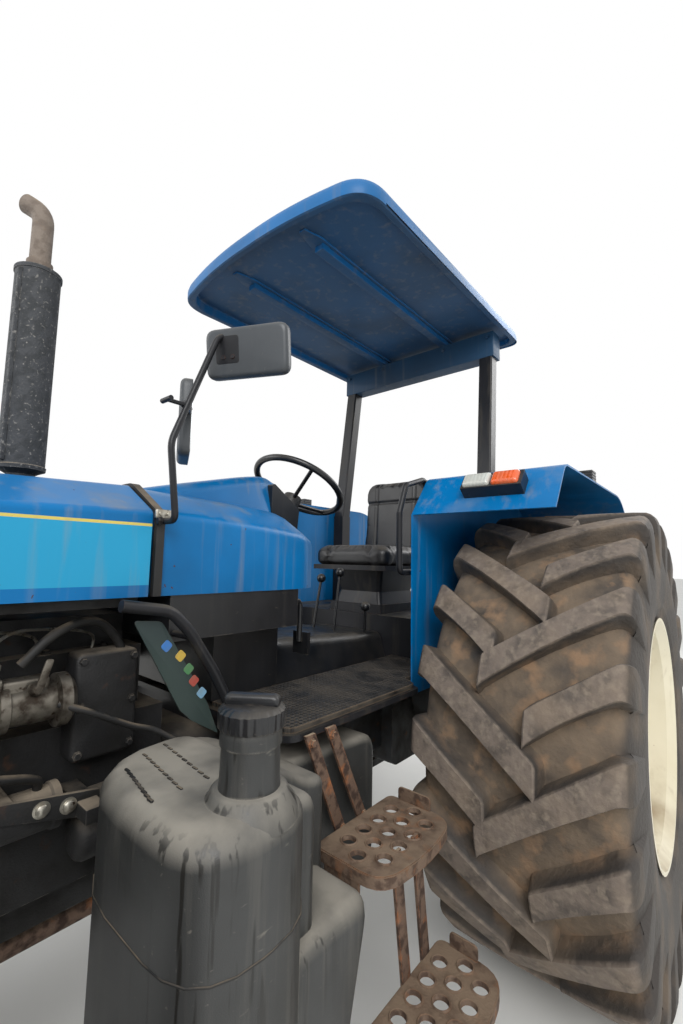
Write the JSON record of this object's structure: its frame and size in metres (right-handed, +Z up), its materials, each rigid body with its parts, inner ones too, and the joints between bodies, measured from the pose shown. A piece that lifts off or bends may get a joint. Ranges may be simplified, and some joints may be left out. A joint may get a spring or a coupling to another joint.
{
  "type": "farm tractor",
  "caption": "Open-station farm tractor with driven, steered front axle, tilting hood, canopy on a rollbar, rear three-point linkage and power take-off.",
  "frame": {"origin": "middle of the tractor's length and width, on the ground", "axes": "+X to the tractor's left, +Y to its rear, +Z up"},
  "size_m": [2.347, 4.2014, 2.622],
  "materials": {
    "blue_paint": "weathered gloss enamel",
    "black_paint": "satin black enamel",
    "grey_green_paint": "faded satin enamel",
    "cast_paint": "oily painted casting",
    "rusty_steel": "rusty bare steel",
    "bright_steel": "worn bare steel",
    "rubber": "matt rubber",
    "tyre": "dusty rubber",
    "rim_paint": "cream enamel",
    "black_plastic": "moulded matt plastic",
    "vinyl": "black seat vinyl",
    "lamp": "lamp lens",
    "mirror_shell": "grained plastic",
    "aluminium": "rough casting"
  },
  "bodies": {
    "chassis": {"front_frame": "cast_paint", "front_weights": "cast_paint", "front_axle_beam": "cast_paint", "engine_block": "cast_paint", "engine_fittings": "aluminium", "radiator": "black_paint", "gearbox": "cast_paint", "rear_axle": "cast_paint", "drive_shaft_guard": "rusty_steel", "hood_arch": "rubber", "cowl": "blue_paint", "dash_panel": "black_plastic", "muffler": "rusty_steel", "platform": "black_paint", "floor_mat": "rubber", "tunnel_cover": "black_plastic", "seat_base": "black_paint", "seat_cushion": "vinyl", "seat_back": "vinyl", "fenders": "blue_paint", "fender_lamps": "lamp", "grab_rails": "black_paint", "rollbar": "black_paint", "canopy": "grey_green_paint", "fuel_tank": "black_plastic", "filler_cap": "black_plastic", "steps": "rusty_steel", "side_shield": "grey_green_paint", "mirrors": "mirror_shell", "controls": "black_plastic", "drawbar": "cast_paint", "battery_box": "black_paint"},
    "hood": {"hood_shell": "blue_paint", "hood_grille": "black_plastic", "headlamps": "lamp"},
    "steering_wheel": {"steering_wheel": "black_plastic"},
    "tie_rod": {"tie_rod": "bright_steel"},
    "steer_rod": {"steer_rod": "bright_steel"},
    "lift_arms": {"lift_arms": "cast_paint"},
    "top_link": {"top_link": "bright_steel"},
    "pto_shaft": {"pto_shaft": "bright_steel"},
    "knuckle_left": {"knuckle_left": "cast_paint"},
    "front_wheel_left": {"front_rim_left": "rim_paint", "front_tyre_left": "tyre"},
    "rear_wheel_left": {"rear_rim_left": "rim_paint", "rear_tyre_left": "tyre"},
    "lift_rod_left": {"lift_rod_left": "bright_steel"},
    "lower_link_left": {"lower_link_left": "cast_paint"},
    "knuckle_right": {"knuckle_right": "cast_paint"},
    "front_wheel_right": {"front_rim_right": "rim_paint", "front_tyre_right": "tyre"},
    "rear_wheel_right": {"rear_rim_right": "rim_paint", "rear_tyre_right": "tyre"},
    "lift_rod_right": {"lift_rod_right": "bright_steel"},
    "lower_link_right": {"lower_link_right": "cast_paint"}
  },
  "joints": [
    {"name": "hood_tilt", "type": "hinge", "parent": "chassis", "child": "hood", "pos_m": [0, -1.86073, 0.935], "axis": [1, 0, 0], "range_deg": [0, 60]},
    {"name": "steering_wheel_turn", "type": "hinge", "parent": "chassis", "child": "steering_wheel", "pos_m": [0, 0.33927, 1.685], "axis": [0, 0.5, 0.866], "range_deg": [-548, 548]},
    {"name": "steer_left", "type": "hinge", "parent": "chassis", "child": "knuckle_left", "pos_m": [0.62, -1.41073, 0.632], "axis": [0, 0, 1], "range_deg": [-38, 38]},
    {"name": "front_spin_left", "type": "hinge", "parent": "knuckle_left", "child": "front_wheel_left", "pos_m": [0.84, -1.41073, 0.632], "axis": [1, 0, 0], "continuous": true},
    {"name": "rear_spin_left", "type": "hinge", "parent": "chassis", "child": "rear_wheel_left", "pos_m": [0.88, 1.02927, 0.79], "axis": [1, 0, 0], "continuous": true},
    {"name": "lower_link_turn_left", "type": "hinge", "parent": "chassis", "child": "lower_link_left", "pos_m": [0.25, 1.17927, 0.56], "axis": [1, 0, 0], "range_deg": [-23, 32]},
    {"name": "lift_rod_turn_left", "type": "hinge", "parent": "lift_arms", "child": "lift_rod_left", "pos_m": [0.342, 1.51906, 1.06313], "axis": [1, 0, 0], "range_deg": [-32, 23]},
    {"name": "steer_right", "type": "hinge", "parent": "chassis", "child": "knuckle_right", "pos_m": [-0.62, -1.41073, 0.632], "axis": [0, 0, 1], "range_deg": [-38, 38]},
    {"name": "front_spin_right", "type": "hinge", "parent": "knuckle_right", "child": "front_wheel_right", "pos_m": [-0.84, -1.41073, 0.632], "axis": [1, 0, 0], "continuous": true},
    {"name": "rear_spin_right", "type": "hinge", "parent": "chassis", "child": "rear_wheel_right", "pos_m": [-0.88, 1.02927, 0.79], "axis": [1, 0, 0], "continuous": true},
    {"name": "lower_link_turn_right", "type": "hinge", "parent": "chassis", "child": "lower_link_right", "pos_m": [-0.25, 1.17927, 0.56], "axis": [1, 0, 0], "range_deg": [-23, 32]},
    {"name": "lift_rod_turn_right", "type": "hinge", "parent": "lift_arms", "child": "lift_rod_right", "pos_m": [-0.342, 1.51906, 1.06313], "axis": [1, 0, 0], "range_deg": [-32, 23]},
    {"name": "tie_rod_pivot", "type": "hinge", "parent": "knuckle_left", "child": "tie_rod", "pos_m": [0.62, -1.25073, 0.504], "axis": [0, 0, 1], "range_deg": [-38, 38]},
    {"name": "steer_rod_slide", "type": "slide", "parent": "chassis", "child": "steer_rod", "axis": [1, 0, 0], "range_m": [-0.09861, 0.09861]},
    {"name": "lift_arms_turn", "type": "hinge", "parent": "chassis", "child": "lift_arms", "pos_m": [0, 1.17927, 1.075], "axis": [1, 0, 0], "range_deg": [-23, 32]},
    {"name": "top_link_turn", "type": "hinge", "parent": "chassis", "child": "top_link", "pos_m": [0, 1.37427, 0.9], "axis": [1, 0, 0], "range_deg": [-24, 94]},
    {"name": "pto_spin", "type": "hinge", "parent": "chassis", "child": "pto_shaft", "pos_m": [0, 1.42927, 0.64], "axis": [0, 1, 0], "continuous": true}
  ],
  "couplings": [
    {"joint": "steer_right", "follows": "steer_left", "ratio": 1},
    {"joint": "tie_rod_pivot", "follows": "steer_left", "ratio": -1},
    {"joint": "steer_rod_slide", "follows": "steer_left", "m_per_rad": -0.14852},
    {"joint": "steering_wheel_turn", "follows": "steer_left", "ratio": 14.4},
    {"joint": "lower_link_turn_left", "follows": "lift_arms_turn", "ratio": 1},
    {"joint": "lift_rod_turn_left", "follows": "lift_arms_turn", "ratio": -1},
    {"joint": "lower_link_turn_right", "follows": "lift_arms_turn", "ratio": 1},
    {"joint": "lift_rod_turn_right", "follows": "lift_arms_turn", "ratio": -1}
  ]
}
